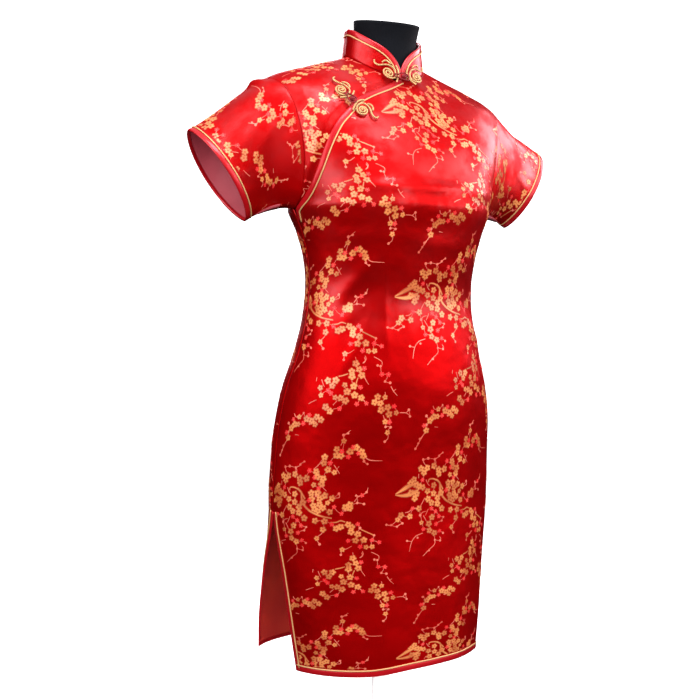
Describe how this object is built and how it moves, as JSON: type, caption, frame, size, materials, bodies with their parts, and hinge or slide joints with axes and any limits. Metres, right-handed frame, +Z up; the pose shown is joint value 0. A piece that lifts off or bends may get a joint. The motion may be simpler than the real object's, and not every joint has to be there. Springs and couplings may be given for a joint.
{
  "type": "short cheongsam dress worn on a limbless dress form with a plain stand",
  "caption": "Short-sleeved knee-length cheongsam in flower brocade with a stand collar, slanted flap, corded frog buttons and side slits, worn on a limbless dress form on a pole stand.",
  "frame": {"origin": "on the floor, under the middle of the box around the whole part, which is the middle of the stand's base", "axes": "+Z up; the wearer faces -Y, so the wearer's left is at +X"},
  "size_m": [0.5741, 0.33, 1.0787],
  "materials": {
    "brocade": "satin brocade with woven flowers",
    "satin_binding": "satin",
    "gold_cord": "gold satin cord",
    "form_cloth": "matte jersey",
    "stand_paint": "satin white paint"
  },
  "bodies": {
    "root": {"back": "brocade", "collar": "brocade", "front": "brocade", "sleeve_left": "brocade", "sleeve_right": "brocade", "yoke": "brocade", "back_hem_binding": "satin_binding", "chest_frog_knot": "satin_binding", "chest_frog_loop": "satin_binding", "collar_binding": "satin_binding", "collar_frog_knot": "satin_binding", "collar_frog_loop": "satin_binding", "flap_binding": "satin_binding", "front_hem_binding": "satin_binding", "sleeve_left_binding": "satin_binding", "sleeve_right_binding": "satin_binding", "back_hem_piping": "gold_cord", "chest_frog_leaf_left": "gold_cord", "chest_frog_leaf_right": "gold_cord", "chest_frog_petal_left": "gold_cord", "chest_frog_petal_right": "gold_cord", "chest_frog_rose_left": "gold_cord", "chest_frog_rose_right": "gold_cord", "collar_frog_leaf_left": "gold_cord", "collar_frog_leaf_right": "gold_cord", "collar_frog_petal_left": "gold_cord", "collar_frog_petal_right": "gold_cord", "collar_frog_rose_left": "gold_cord", "collar_frog_rose_right": "gold_cord", "collar_piping": "gold_cord", "flap_piping": "gold_cord", "front_hem_piping": "gold_cord", "sleeve_left_piping": "gold_cord", "sleeve_right_piping": "gold_cord", "form": "form_cloth", "base": "stand_paint", "pole": "stand_paint"}
  },
  "joints": []
}
